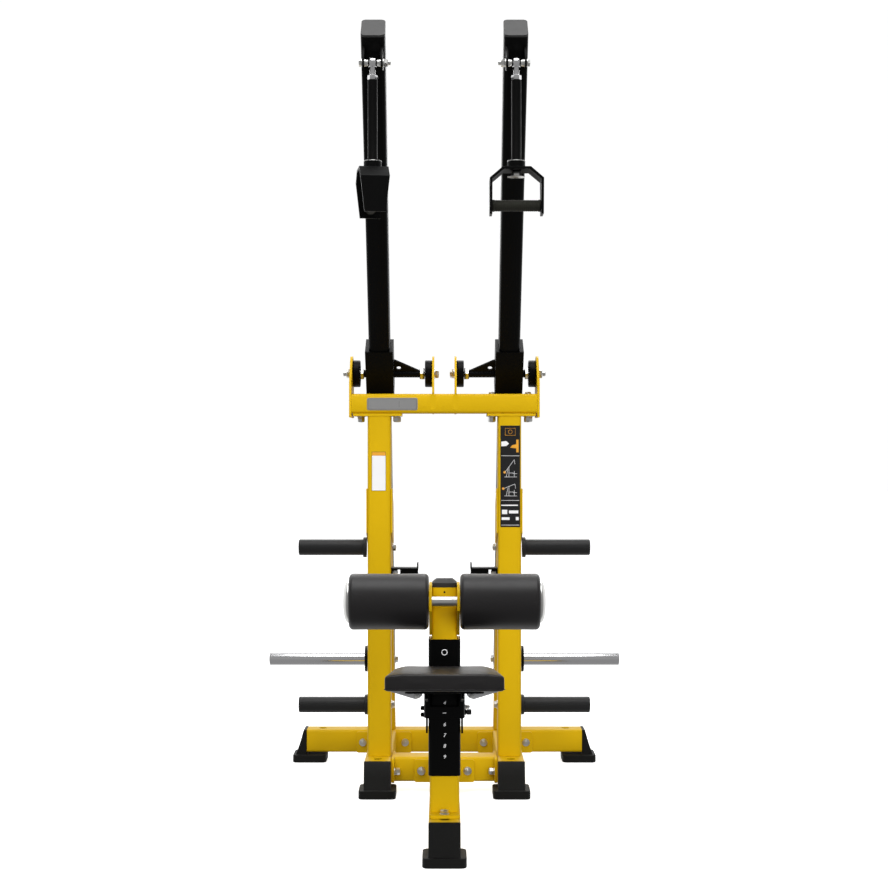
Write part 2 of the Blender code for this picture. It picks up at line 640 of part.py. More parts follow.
def build_rollers():
    tip = ROLLER_OUT + 0.0005
    axle = [(-tip, 0.0), (-tip, AXLE_R), (tip, AXLE_R), (tip, 0.0)]
    add("thigh_axle", turned(axle, (0, ROLLER_Y, ROLLER_Z)), ZINC)
    bore = AXLE_R + GAP
    edge = 0.012
    for side, sign in SIDES:
        profile = [(ROLLER_IN, bore), (ROLLER_IN, ROLLER_R - edge)]
        profile += [(ROLLER_IN + edge * (1 - math.cos(a)), ROLLER_R - edge * (1 - math.sin(a)))
                    for a in (math.radians(30), math.radians(60), math.radians(90))]
        profile += [(ROLLER_OUT - edge * (1 - math.cos(a)), ROLLER_R - edge * (1 - math.sin(a)))
                    for a in (math.radians(90), math.radians(60), math.radians(30))]
        profile += [(ROLLER_OUT, ROLLER_R - edge), (ROLLER_OUT, bore)]
        roller = turned(profile, (0, ROLLER_Y, ROLLER_Z), "X", sign, count=32, ring=True)
        add(side + "_thigh_roller", roller, VINYL)
        start = ROLLER_OUT + 0.0008
        dome = [(start, 0.0), (start, 0.052), (start + 0.004, 0.051), (start + 0.009, 0.040),
                (start + 0.013, 0.022), (start + 0.014, 0.0)]
        add(side + "_roller_end_cap", turned(dome, (0, ROLLER_Y, ROLLER_Z), "X", sign), ZINC)


def seat_frame():
    """Seat coordinates: the near edge's top at the origin, and Y along the pad towards the machine."""
    return Matrix.Translation((0.0, SEAT_NEAR_Y, SEAT_NEAR_Z)) @ Matrix.Rotation(SEAT_TILT, 4, "X")


def seat_pad_shape():
    """Pad with a flat middle between two side facets that fall away, and a little narrower at its far end."""
    corners = [
        (-SEAT_HALF, 0.008, -SEAT_FALL), (-SEAT_FLAT, 0.0, 0.0), (SEAT_FLAT, 0.0, 0.0),
        (SEAT_HALF, 0.008, -SEAT_FALL), (0.127, SEAT_LENGTH - 0.030, -SEAT_FALL), (0.100, SEAT_LENGTH, 0.0),
        (-0.100, SEAT_LENGTH, 0.0), (-0.127, SEAT_LENGTH - 0.030, -SEAT_FALL),
    ]
    count = len(corners)
    verts = [Vector((x, y, -SEAT_THICK)) for x, y, z in corners] + [Vector(corner) for corner in corners]
    faces = [tuple(range(count))]
    faces += [(9, 10, 13, 14), (8, 9, 14), (8, 14, 15), (10, 11, 13), (11, 12, 13)]
    for i in range(count):
        j = (i + 1) % count
        faces.append((i, j, j + count, i + count))
    return verts, faces


def build_carriage():
    """Sliding collar on the sleeve, with its side plates, the pad's plate and the pin's bore."""
    inner = rounded(SLEEVE + 0.002, SLEEVE + 0.002, 0.010, (0.0, COLUMN_Y))
    outer = rounded(CARRIAGE, CARRIAGE, 0.012, (0.0, COLUMN_Y))
    pieces = [prism(outer, CARRIAGE_LOW, CARRIAGE_TOP, "Z", [inner])]
    under = -SEAT_THICK - GAP
    plate = prism(rounded(0.188, 0.245, 0.012, (0.0, 0.140)), under - 0.006, under)
    pieces.append(moved(plate, seat_frame()))
    front = COLUMN_Y - CARRIAGE / 2
    back = COLUMN_Y + CARRIAGE / 2
    support = [(front + 0.004, CARRIAGE_LOW + 0.040), (front + 0.004, 0.440), (SEAT_NEAR_Y + 0.050, 0.4545),
               (SEAT_NEAR_Y + 0.040, 0.4380)]
    skirt = [(front + 0.012, SKIRT_LOW), (back - 0.030, SKIRT_LOW), (back - 0.014, CARRIAGE_LOW + 0.010),
             (front + 0.014, CARRIAGE_LOW + 0.010)]
    for way in (-1, 1):
        span = sorted((way * 0.040, way * 0.046))
        pieces.append(prism(support, span[0], span[1], "X"))
        span = sorted((way * 0.0422, way * 0.0470))
        pieces.append(prism(skirt, span[0], span[1], "X"))
    barrel = [(0.050, 0.0), (0.050, 0.0075), (0.0555, 0.0075), (0.0555, 0.0)]
    pieces.append(turned(barrel, (0, COLUMN_Y, PIN_Z), "X", count=16))
    bore = [(0.030, 0.0), (0.030, PIN_R + 0.0006), (0.080, PIN_R + 0.0006), (0.080, 0.0)]
    cutters = [turned(bore, (0, COLUMN_Y, PIN_Z), "X", count=16)]
    cutters.append(box((-0.036, 0.036), (front - 0.010, front + 0.015), (0.382, 0.424)))
    return combine("DIFFERENCE", [combine("UNION", pieces)] + cutters)


def build_seat():
    add("seat_pad", moved(seat_pad_shape(), seat_frame()), VINYL)
    add("seat_carriage", build_carriage(), BLACK)
    pin = [(0.0412, 0.0), (0.0412, PIN_R), (0.0560, PIN_R), (0.0560, 0.0060), (0.0575, 0.0072),
           (0.0675, 0.0072), (0.0690, 0.0060), (0.0690, 0.0)]
    add("seat_pin", turned(pin, (0, COLUMN_Y, PIN_Z), "X", count=20), PLASTIC)


def main():
    clear_scene()
    build_feet()
    build_rails()
    build_crossbars()
    build_uprights()
    build_braces()
    build_beam()
    build_bearings()
    for side, sign in SIDES:
        build_arm(side, sign)
        build_arm_fittings(side, sign)
        build_hanger(side, sign)
        build_handle(side, sign, LEFT_HANDLE_TURN if side == "left" else 0.0)
    build_storage_horns()
    build_stop_brackets()
    build_column()
    build_rollers()
    build_seat()


main()
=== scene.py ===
"""Looks of the lat pulldown machine: finishes, upholstery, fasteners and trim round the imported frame."""
import json
import math

import bmesh
import bpy
from mathutils import Matrix, Vector
from mathutils.geometry import tessellate_polygon


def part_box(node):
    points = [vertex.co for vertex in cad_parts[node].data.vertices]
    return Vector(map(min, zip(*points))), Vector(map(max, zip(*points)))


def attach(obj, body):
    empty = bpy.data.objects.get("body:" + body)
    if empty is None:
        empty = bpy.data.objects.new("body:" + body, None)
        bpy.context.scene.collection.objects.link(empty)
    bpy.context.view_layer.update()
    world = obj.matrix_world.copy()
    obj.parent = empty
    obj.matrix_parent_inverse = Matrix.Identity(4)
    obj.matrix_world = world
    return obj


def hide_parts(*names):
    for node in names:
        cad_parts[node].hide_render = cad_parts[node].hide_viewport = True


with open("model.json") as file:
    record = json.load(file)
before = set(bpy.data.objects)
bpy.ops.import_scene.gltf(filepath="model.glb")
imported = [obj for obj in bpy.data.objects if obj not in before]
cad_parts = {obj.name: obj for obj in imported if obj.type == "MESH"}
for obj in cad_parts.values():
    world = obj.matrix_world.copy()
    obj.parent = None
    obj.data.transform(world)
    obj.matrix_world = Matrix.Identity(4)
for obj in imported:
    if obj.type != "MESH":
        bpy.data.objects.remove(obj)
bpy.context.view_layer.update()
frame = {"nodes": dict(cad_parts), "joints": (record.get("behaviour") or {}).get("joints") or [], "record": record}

SIDES = (("left", -1.0), ("right", 1.0))
MM = 0.001
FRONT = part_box("front_foot")[0].y            # front edge of the front foot
NODE_BODY = {node: body for body, nodes in frame["record"]["behaviour"]["bodies"].items() for node in nodes}
NODE_SLOT = {row["node"]: row["material_slot"] for row in frame["record"]["subparts"]}
JOINTS = {joint["name"]: joint for joint in frame["joints"]}

# Camera and floor
CAMERA_BACK = 4.049                          # from the front foot to the camera
CAMERA_HEIGHT = 1.043
CAMERA_SHIFT = -0.0012
FOCAL_LENGTH = 66.9                          # on a sensor 36 mm wide
FLOOR_HALF = 30.0
# Bolt circles and faces of the frame
RAIL_Z = 0.065                               # height of the bolts in the floor rails
RAIL_X = 0.198                               # middle of a side rail
FLANGE_BOLT_X = 0.069                        # from the middle of a rear flange to its bolts
FLANGE = 0.008                               # thickness of the bolted flanges
TOP_BOLTS_X = (0.1435, 0.2540)               # bolts of an upright's top flange, inner and outer
UPRIGHT_INNER = 0.161                        # inner face of an upright
# Arms and hangers, from the hanger's pivot
HORN_BOLT_X = 0.1754
STORAGE_R = 0.024
EAR_OUT = 0.0273                             # outer face of a clevis ear
BOLT_R = 0.006                               # clevis bolt and swivel bolt
EYE_BORE = 0.0066
EYE_R = 0.0148
ROD_TOP = -0.0445
ROD_R = 0.0128
HUB_HEIGHT = 0.019
HUB_R = 0.0230
# Seat
CARRIAGE_HALF = 0.0515                       # half the width of the carriage's collar
SEAT_EDGE_Z = 0.501                          # the pad's top at its front edge
SEAT_TILT = math.radians(-3.5)
NUMBER_TOP = 0.3895
NUMBER_PITCH = 0.0272
RING_Z = 0.5175
# height of the dark disc of painted shade in the post's hole
HOLE_SHADE_Z = 0.6685
# Labels
BADGE_X = -0.1565
STICKER_X = -0.197
PLACARD_X = 0.1978
FILM = 0.0003                                # thickness of printed areas


# ---- camera and light ----

def build_camera():
    data = bpy.data.cameras.new("camera")
    data.sensor_width = 36.0
    data.lens = FOCAL_LENGTH
    data.clip_end = 100.0
    camera = bpy.data.objects.new("camera", data)
    camera.location = (CAMERA_SHIFT, FRONT - CAMERA_BACK, CAMERA_HEIGHT)
    camera.rotation_euler = (math.pi / 2, 0.0, 0.0)
    bpy.context.scene.collection.objects.link(camera)
    bpy.context.scene.camera = camera
    bpy.context.scene.view_settings.view_transform = "Standard"


def build_world():
    """White beyond the machine, grey on the camera's side, and a little weaker below the horizon."""
    world = bpy.data.worlds.new("studio")
    world.use_nodes = True
    tree = world.node_tree
    direction = tree.nodes.new("ShaderNodeTexCoord")
    parts = tree.nodes.new("ShaderNodeSeparateXYZ")
    tree.links.new(direction.outputs["Generated"], parts.inputs["Vector"])
    tones = tree.nodes.new("ShaderNodeValToRGB")
    tones.color_ramp.elements[0].position = 0.0
    tones.color_ramp.elements[0].color = (0.3, 0.3, 0.3, 1.0)
    tones.color_ramp.elements[1].position = 0.45
    tones.color_ramp.elements[1].color = (1.0, 1.0, 1.0, 1.0)
    tree.links.new(parts.outputs["Y"], tones.inputs["Fac"])
    tree.links.new(tones.outputs["Color"], tree.nodes["Background"].inputs["Color"])
    below = tree.nodes.new("ShaderNodeMapRange")
    below.inputs["From Min"].default_value = -0.10
    below.inputs["From Max"].default_value = -0.05
    below.inputs["To Min"].default_value = 0.9
    below.inputs["To Max"].default_value = 1.02
    tree.links.new(parts.outputs["Z"], below.inputs["Value"])
    tree.links.new(below.outputs["Result"], tree.nodes["Background"].inputs["Strength"])
    bpy.context.scene.world = world


def build_lamps():
    """Square lamps aimed at the machine. The two in front don't show in reflections."""
    target = Vector((0.0, 0.0, 1.0))
    lamps = (
        ("key_light", (-2.2, -8.0, 6.5), 4.3, 420.0, False),
        ("fill_light", (2.8, -8.6, 2.0), 4.0, 330.0, False),
        ("top_light", (0.0, -1.2, 4.6), 3.0, 95.0, True),
        ("back_light", (0.0, 3.6, 3.4), 3.0, 60.0, True),
    )
    for name, spot, size, power, mirrored in lamps:
        data = bpy.data.lights.new(name, "AREA")
        data.size = size
        data.energy = power
        lamp = bpy.data.objects.new(name, data)
        lamp.location = spot
        lamp.rotation_euler = (target - Vector(spot)).to_track_quat("-Z", "Y").to_euler()
        lamp.visible_glossy = mirrored
        bpy.context.scene.collection.objects.link(lamp)


def build_floor():
    """White floor that the camera sees, kept out of reflections and bounced light."""
    corners = [(x * FLOOR_HALF, y * FLOOR_HALF, 0.0) for x, y in ((-1, -1), (1, -1), (1, 1), (-1, 1))]
    mesh = bpy.data.meshes.new("floor")
    mesh.from_pydata(corners, [], [(0, 1, 2, 3)])
    floor = bpy.data.objects.new("floor", mesh)
    bpy.context.scene.collection.objects.link(floor)
    floor.location.z = -0.0005
    floor.visible_glossy = False
    floor.visible_diffuse = False
    paint = surface("floor_paint", (0.85, 0.85, 0.85), 0.7, spread=0.01, grain=40.0, depth=0.00002,
                    specular=0.1)
    shader = paint.node_tree.nodes["Principled BSDF"]
    shader.inputs["Emission Color"].default_value = (1.0, 1.0, 1.0, 1.0)
    shader.inputs["Emission Strength"].default_value = 0.75
    mesh.materials.append(paint)


# ---- materials ----

def surface(name, color, roughness, spread=0.03, grain=600.0, depth=0.00004, metallic=0.0, specular=0.5,
            stretch=(1.0, 1.0, 1.0), leather=False, spread_rough=0.06):
    """Finish with slow colour drift, uneven gloss and a fine relief, from the object's own coordinates."""
    mat = bpy.data.materials.new(name)
    mat.use_nodes = True
    tree = mat.node_tree
    shader = tree.nodes["Principled BSDF"]
    place = tree.nodes.new("ShaderNodeTexCoord")
    mapping = tree.nodes.new("ShaderNodeMapping")
    mapping.inputs["Scale"].default_value = stretch
    tree.links.new(place.outputs["Object"], mapping.inputs["Vector"])

    drift = tree.nodes.new("ShaderNodeTexNoise")
    drift.inputs["Scale"].default_value = 5.0
    drift.inputs["Detail"].default_value = 4.0
    tree.links.new(mapping.outputs["Vector"], drift.inputs["Vector"])
    tones = tree.nodes.new("ShaderNodeValToRGB")
    tones.color_ramp.elements[0].position = 0.3
    tones.color_ramp.elements[1].position = 0.7
    tones.color_ramp.elements[0].color = (*[c * (1.0 - spread) for c in color], 1.0)
    tones.color_ramp.elements[1].color = (*[min(1.0, c * (1.0 + spread)) for c in color], 1.0)
    tree.links.new(drift.outputs["Fac"], tones.inputs["Fac"])
    tree.links.new(tones.outputs["Color"], shader.inputs["Base Color"])

    patches = tree.nodes.new("ShaderNodeTexNoise")
    patches.inputs["Scale"].default_value = 38.0
    patches.inputs["Detail"].default_value = 5.0
    tree.links.new(mapping.outputs["Vector"], patches.inputs["Vector"])
    gloss = tree.nodes.new("ShaderNodeMapRange")
    gloss.inputs["To Min"].default_value = max(0.02, roughness - spread_rough)
    gloss.inputs["To Max"].default_value = min(1.0, roughness + spread_rough)
    tree.links.new(patches.outputs["Fac"], gloss.inputs["Value"])
    tree.links.new(gloss.outputs["Result"], shader.inputs["Roughness"])

    if leather:
        relief = tree.nodes.new("ShaderNodeTexVoronoi")
        relief.feature = "SMOOTH_F1"
        relief.inputs["Smoothness"].default_value = 0.6
        height = relief.outputs["Distance"]
    else:
        relief = tree.nodes.new("ShaderNodeTexNoise")
        relief.inputs["Detail"].default_value = 3.0
        height = relief.outputs["Fac"]
    relief.inputs["Scale"].default_value = grain
    tree.links.new(mapping.outputs["Vector"], relief.inputs["Vector"])
    bump = tree.nodes.new("ShaderNodeBump")
    bump.inputs["Strength"].default_value = 0.6
    bump.inputs["Distance"].default_value = depth
    tree.links.new(height, bump.inputs["Height"])
    tree.links.new(bump.outputs["Normal"], shader.inputs["Normal"])

    shader.inputs["Metallic"].default_value = metallic
    shader.inputs["Specular IOR Level"].default_value = specular
    return mat


FINISHES = {
    "yellow_paint": surface("yellow_powder_coat", (0.655, 0.408, 0.003), 0.45, grain=900.0, specular=0.16),
    "black_paint": surface("black_powder_coat", (0.0017, 0.0017, 0.0017), 0.40, spread=0.1, grain=900.0,
                           specular=0.095),
    "foot_rubber": surface("moulded_rubber", (0.0058, 0.0058, 0.0054), 0.6, spread=0.12, grain=500.0,
                           depth=0.0001, specular=0.3),
    "vinyl": surface("black_vinyl", (0.0088, 0.0080, 0.0083), 0.42, spread=0.08, grain=750.0, depth=0.00010,
                     specular=0.42, leather=True),
    "grip_rubber": surface("ribbed_rubber", (0.014, 0.014, 0.0105), 0.68, spread=0.15, grain=800.0,
                           depth=0.0001, specular=0.3),
    "cap_plastic": surface("cap_plastic", (0.022, 0.022, 0.022), 0.5, spread=0.06, grain=700.0,
                           depth=0.00006),
    "chrome": surface("bright_chrome", (0.86, 0.86, 0.87), 0.16, spread=0.02, grain=260.0, depth=0.00001,
                      metallic=1.0, stretch=(0.15, 1.0, 1.0), spread_rough=0.04),
    "zinc_steel": surface("zinc_plate", (0.78, 0.78, 0.76), 0.3, spread=0.05, grain=500.0, depth=0.00003,
                          metallic=1.0),
}
EXTRA = {
    "storage_black": surface("storage_sleeve", (0.0105, 0.0105, 0.0108), 0.48, spread=0.08, grain=600.0,
                             depth=0.00006, specular=0.4),
    "badge_silver": surface("badge_aluminium", (0.56, 0.56, 0.56), 0.38, grain=500.0, metallic=0.85,
                            stretch=(0.05, 1.0, 1.0)),
    "label_white": surface("label_white", (0.86, 0.86, 0.87), 0.4, spread=0.01, grain=400.0, depth=0.00001),
    "label_amber": surface("label_amber", (0.78, 0.36, 0.03), 0.4, spread=0.02, grain=400.0, depth=0.00001),
    "label_black": surface("label_black", (0.008, 0.008, 0.0085), 0.4, spread=0.05, grain=400.0,
                           depth=0.00001),
    # painted shade: a near-black colour for the shaded inside of the hole near the top of the post
    "hole_shade_dark": surface("painted_hole_shade", (0.006, 0.005, 0.004), 0.7, spread=0.05, grain=300.0, specular=0.2),
    "grey_plate": surface("grey_plate", (0.42, 0.42, 0.43), 0.4, grain=500.0, specular=0.4),
}


# ---- mesh helpers ----

def add_piece(name, shape, slot, body, mat=None, bevel=0.0, segments=2, angle=35.0, replaces=()):
    """One object of a (vertices, faces) shape, finished, and riding on a CAD body."""
    mesh = bpy.data.meshes.new(name)
    mesh.from_pydata([tuple(v) for v in shape[0]], [], shape[1])
    work = bmesh.new()
    work.from_mesh(mesh)
    bmesh.ops.recalc_face_normals(work, faces=work.faces)
    work.to_mesh(mesh)
    work.free()
    return finish_piece(name, mesh, slot, body, mat, bevel, segments, angle, replaces)


def finish_piece(name, mesh, slot, body, mat=None, bevel=0.0, segments=2, angle=35.0, replaces=()):
    """Shade, soften and place a mesh, with its finish, its body and the nodes that it replaces. The slot picks the
    finish when no material is given.
    """
    mesh.shade_smooth()
    mesh.set_sharp_from_angle(angle=math.radians(angle))
    obj = bpy.data.objects.new(name, mesh)
    bpy.context.scene.collection.objects.link(obj)
    mesh.materials.clear()
    mesh.materials.append(mat or FINISHES[slot])
    if bevel:
        edge = obj.modifiers.new("edges", "BEVEL")
        edge.width = bevel
        edge.segments = segments
        edge.limit_method = "ANGLE"
        edge.angle_limit = math.radians(angle + 12.0)
        edge.harden_normals = True
    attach(obj, body)
    if replaces:
        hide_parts(*replaces)
    return obj


def circle(radius, count=48, centre=(0.0, 0.0)):
    turns = [2.0 * math.pi * i / count for i in range(count)]
    return [(centre[0] + radius * math.cos(a), centre[1] + radius * math.sin(a)) for a in turns]


def rounded(width, height, radius, steps=6, centre=(0.0, 0.0)):
    points = []
    for corner, (sx, sy) in enumerate(((1, 1), (-1, 1), (-1, -1), (1, -1))):
        cx = centre[0] + sx * (width / 2 - radius)
        cy = centre[1] + sy * (height / 2 - radius)
        for i in range(steps + 1):
            a = math.pi / 2 * (corner + i / steps)
            points.append((cx + radius * math.cos(a), cy + radius * math.sin(a)))
    return points


def prism(outline, low, high, holes=()):
    """Extrude an outline in XY along Z."""
    loops = [list(outline)] + [list(h) for h in holes]
    flat = [p for loop in loops for p in loop]
    count = len(flat)
    verts = [Vector((u, v, low)) for u, v in flat] + [Vector((u, v, high)) for u, v in flat]
    triangles = tessellate_polygon([[Vector((u, v, 0.0)) for u, v in loop] for loop in loops])
    if holes:
        faces = [tuple(t) for t in triangles] + [tuple(i + count for i in reversed(t)) for t in triangles]
    else:
        faces = [tuple(range(count)), tuple(reversed(range(count, 2 * count)))]
    start = 0
    for loop in loops:
        for i in range(len(loop)):
            a = start + i
            b = start + (i + 1) % len(loop)
            faces.append((a, b, b + count, a + count))
        start += len(loop)
    return verts, faces


def turned(profile, count=64, ring=False):
    """Turn (along, radius) points about Z. A ring's profile closes on itself round a bore."""
    verts = []
    rows = []
    for along, radius in profile:
        if radius == 0.0:
            rows.append([len(verts)] * count)
            verts.append(Vector((0.0, 0.0, along)))
            continue
        rows.append(list(range(len(verts), len(verts) + count)))
        for i in range(count):
            a = 2.0 * math.pi * i / count
            verts.append(Vector((radius * math.cos(a), radius * math.sin(a), along)))
    faces = []
    pairs = list(zip(rows, rows[1:])) + ([(rows[-1], rows[0])] if ring else [])
    for low, high in pairs:
        for i in range(count):
            j = (i + 1) % count
            unique = list(dict.fromkeys([low[i], low[j], high[j], high[i]]))
            if len(unique) > 2:
                faces.append(tuple(unique))
    if not ring:
        for row, end in ((rows[0], 0), (rows[-1], -1)):
            if profile[end][1] > 0.0:
                faces.append(tuple(row))
    return verts, faces


def moved(shape, matrix):
    return [matrix @ Vector(v) for v in shape[0]], shape[1]


def joined(shapes):
    """One shape out of several."""
    verts = []
    faces = []
    for part_verts, part_faces in shapes:
        start = len(verts)
        verts += list(part_verts)
        faces += [tuple(i + start for i in face) for face in part_faces]
    return verts, faces


def pointing(point, direction):
    """Matrix that takes local Z to a direction, at a point."""
    return Matrix.Translation(point) @ Vector(direction).to_track_quat("Z", "Y").to_matrix().to_4x4()


def arc(centre_along, centre_radius, size, start, end, steps=5):
    """Part of a turned profile: a round between two angles in degrees."""
    points = []
    for i in range(steps + 1):
        a = math.radians(start + (end - start) * i / steps)
        points.append((centre_along + size * math.cos(a), centre_radius + size * math.sin(a)))
    return points


# ---- frame parts with softened edges ----

def cleaned_copy(node):
    """A CAD node's mesh with shared corners and whole flat faces, and no stored normals."""
    mesh = frame["nodes"][node].data.copy()
    work = bmesh.new()
    work.from_mesh(mesh)
    bmesh.ops.remove_doubles(work, verts=work.verts, dist=0.02 * MM)
    bmesh.ops.dissolve_limit(work, angle_limit=math.radians(0.5), verts=work.verts, edges=work.edges)
    bmesh.ops.recalc_face_normals(work, faces=work.faces)
    work.to_mesh(mesh)
    work.free()
    if mesh.has_custom_normals:
        mesh.attributes.remove(mesh.attributes["custom_normal"])
    return mesh


def soften(node, bevel):
    """Stand in for a CAD node with the same shape, its sharp edges rounded a little."""
    finish_piece(node + "_finished", cleaned_copy(node), NODE_SLOT[node], NODE_BODY[node], bevel=bevel,
                 angle=46.0, replaces=[node])


def build_softened():
    """Every node that no other function draws again."""
    skip = ("weight_horn", "storage_horn", "bearing", "roller", "grip", "hanger_rod", "rod_end",
            "clevis_bolt", "seat_pin", "thigh_axle", "seat_pad", "pivot_shaft")
    for node in sorted(NODE_SLOT):
        if not any(word in node for word in skip):
            soften(node, 2.5 * MM if node.endswith("foot") else 1.0 * MM)


# ---- round parts ----

def middle_of(node):
    """Middle of a node's box, as Y and Z."""
    low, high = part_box(node)
    return (low.y + high.y) / 2, (low.z + high.z) / 2


def axis_place(node, sign):
    """Matrix from the start of a part turned about X, pointing along sign, with its length and radius."""
    low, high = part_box(node)
    start = low.x if sign > 0 else high.x
    return pointing((start, *middle_of(node)), (sign, 0, 0)), high.x - low.x, (high.z - low.z) / 2


def build_horns():
    for side, sign in SIDES:
        place, length, r = axis_place(side + "_weight_horn", sign)
        profile = [(0.0, 0.0), (0.0, r)] + arc(length - 0.005, r - 0.005, 0.005, 90, 0) + [
            (length, r * 0.70), (length - 0.002, r * 0.68), (length - 0.002, 0.0)]
        add_piece(side + "_weight_horn_sleeve", moved(turned(profile, 72), place), "chrome",
                  side + "_arm_body", replaces=[side + "_weight_horn"])
        for level in ("upper", "lower"):
            node = side + "_" + level + "_storage_horn"
            place, length, collar = axis_place(node, sign)
            r = STORAGE_R
            profile = [(0.0, 0.0), (0.0, collar)] + arc(0.0085, collar - 0.0015, 0.0015, 90, 0, 3) + [
                (0.010, r + 0.001), (0.011, r)] + arc(length - 0.004, r - 0.004, 0.004, 90, 0) + [
                (length, r * 0.8), (length - 0.0012, r * 0.77), (length - 0.0012, 0.0)]
            add_piece(node + "_sleeve", moved(turned(profile), place), "black_paint", "frame",
                      EXTRA["storage_black"], replaces=[node])


def build_bearings():
    """Flat bearing discs on both sides of each arm, the shaft through them, and its lock nuts."""
    for side, sign in SIDES:
        pin_place, pin_length, shaft = axis_place(side + "_pivot_shaft", sign)
        centre = middle_of(side + "_pivot_shaft")
        bore = shaft + 0.0006
        for spot, way in (("outer", -1.0), ("inner", 1.0)):
            node = side + "_" + spot + "_bearing"
            place, length, r = axis_place(node, sign * way)
            profile = [(0.0, bore), (0.0, r - 0.003)] + arc(0.003, r - 0.003, 0.003, 180, 90, 4)
            profile += arc(length - 0.003, r - 0.003, 0.003, 90, 0, 4)
            profile += [(length, r * 0.62), (length - 0.0015, r * 0.58), (length - 0.0015, bore)]
            add_piece(node + "_housing", moved(turned(profile, ring=True), place), "black_paint", "frame",
                      replaces=[node])
            ends = [abs(corner.x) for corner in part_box(node)]
            face = max(ends) if spot == "inner" else min(ends)
            height = 0.0150 if spot == "inner" else 0.0095
            nut = moved(hex_nut(0.0340, height, shaft + 0.0023),
                        pointing((sign * (face + way * 0.0012), *centre), (sign * way, 0, 0)))
            add_piece(side + "_" + spot + "_lock_nut", nut, "zinc_steel", side + "_arm_body")
        profile = [(0.0, 0.0), (0.0, shaft - 0.002), (0.002, shaft), (pin_length - 0.002, shaft),
                   (pin_length, shaft - 0.002), (pin_length, 0.0)]
        add_piece(side + "_pivot_pin", moved(turned(profile), pin_place), "zinc_steel", side + "_arm_body",
                  replaces=[side + "_pivot_shaft"])


def build_hangers():
    """Ball eye, spacers, rod, hub and swivel nut that hang from each arm's clevis."""
    for side, _ in SIDES:
        joint = JOINTS[side + "_hanger_swing"]
        place = Matrix.Translation(joint["pos_m"])
        across = place @ pointing((0, 0, 0), (1, 0, 0))
        z = joint["pos_m"][2]
        hub_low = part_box(side + "_handle")[1].z - z + 0.0003
        hub_top = hub_low + HUB_HEIGHT

        eye = turned([(-0.0085, EYE_BORE), (-0.0105, 0.0085)] + arc(0.0, 0.0, EYE_R, 150, 30, 14)
                     + [(0.0105, 0.0085), (0.0085, EYE_BORE)], 48, ring=True)
        cones = [[(way * 0.0110, EYE_BORE), (way * 0.0110, 0.0085), (way * 0.0205, 0.0105),
                  (way * 0.0212, 0.0105), (way * 0.0212, EYE_BORE)] for way in (-1, 1)]
        spacers = [moved(turned(cone, 32, ring=True), across) for cone in cones]
        neck = turned([(-0.0310, 0.0), (-0.0310, 0.0085), (-0.0250, 0.0072), (-0.0190, 0.0085),
                       (-0.0120, 0.0095), (-0.0120, 0.0)], 40)
        nut = moved(hex_nut(0.0230, 0.0128), place @ Matrix.Translation((0, 0, ROD_TOP + 0.0004)))
        add_piece(side + "_rod_end_joint", joined([moved(eye, across), moved(neck, place), nut]), "chrome",
                  side + "_hanger", replaces=[side + "_rod_end"])
        add_piece(side + "_eye_spacers", joined(spacers), "zinc_steel",
                  side + "_arm_body")

        rod = [(ROD_TOP, 0.0), (ROD_TOP, ROD_R - 0.002), (ROD_TOP - 0.0017, ROD_R), (hub_top + 0.006, ROD_R),
               (hub_top, ROD_R + 0.003), (hub_top - 0.0010, HUB_R - 0.0015), (hub_top - 0.0025, HUB_R),
               (hub_low, HUB_R), (hub_low, BOLT_R), (hub_low - 0.0250, BOLT_R), (hub_low - 0.0250, 0.0)]
        add_piece(side + "_hanger_bar", moved(turned(rod), place), "black_paint", side + "_hanger",
                  replaces=[side + "_hanger_rod"])
        rim = [(hub_top - 0.0016, 0.0222)] + arc(hub_top - 0.0010, HUB_R, 0.0008, 180, 0, 4) + [
            (hub_top - 0.0004, 0.0222)]
        washer = [(hub_low - 0.0248, BOLT_R), (hub_low - 0.0232, 0.0225), (hub_low - 0.0222, 0.0232),
                  (hub_low - 0.0226, 0.0215), (hub_low - 0.0236, BOLT_R)]
        lock = moved(hex_nut(0.0240, 0.0150), place @ Matrix.Translation((0, 0, hub_low - 0.0232)))
        pieces = [moved(turned(rim, ring=True), place), moved(turned(washer, ring=True), place), lock]
        add_piece(side + "_swivel_nut", joined(pieces), "zinc_steel", side + "_hanger")


def build_axle():
    """Rod across the post and the domed caps at the rollers' outer ends."""
    place, length, r = axis_place("thigh_axle", 1.0)
    profile = [(0.0, 0.0), (0.0, r - 0.001), (0.001, r), (length - 0.001, r), (length, r - 0.001),
               (length, 0.0)]
    add_piece("thigh_cross_rod", moved(turned(profile), place), "zinc_steel", "frame",
              replaces=["thigh_axle"])
    for side, sign in SIDES:
        node = side + "_roller_end_cap"
        place, length, r = axis_place(node, sign)
        rim = 0.0015
        dome = [(0.0, 0.0), (0.0, r), (rim, r)]
        dome += [(rim + (length - rim) * math.sin(a), r * math.cos(a) ** 0.8)
                 for a in [math.radians(d) for d in (8, 16, 24, 34, 44, 54, 64, 74, 82)]]
        dome += [(length, 0.0)]
        add_piece(node + "_dome", moved(turned(dome), place), "zinc_steel", "frame", replaces=[node])


def build_pin():
    place, length, r = axis_place("seat_pin", 1.0)
    shaft = 0.0035
    head = 0.0150
    profile = [(0.0, 0.0), (0.0, shaft - 0.001), (0.001, shaft), (head - 0.0005, shaft),
               (head - 0.0005, r * 0.6), (head, r - 0.0012), (head + 0.0012, r)]
    profile += arc(length - 0.0025, r - 0.0025, 0.0025, 90, 0) + [(length, 0.0)]
    add_piece("seat_pull_knob", moved(turned(profile, 40), place), "cap_plastic", "seat_pull_pin",
              EXTRA["label_black"], replaces=["seat_pin"])


# ---- fasteners ----

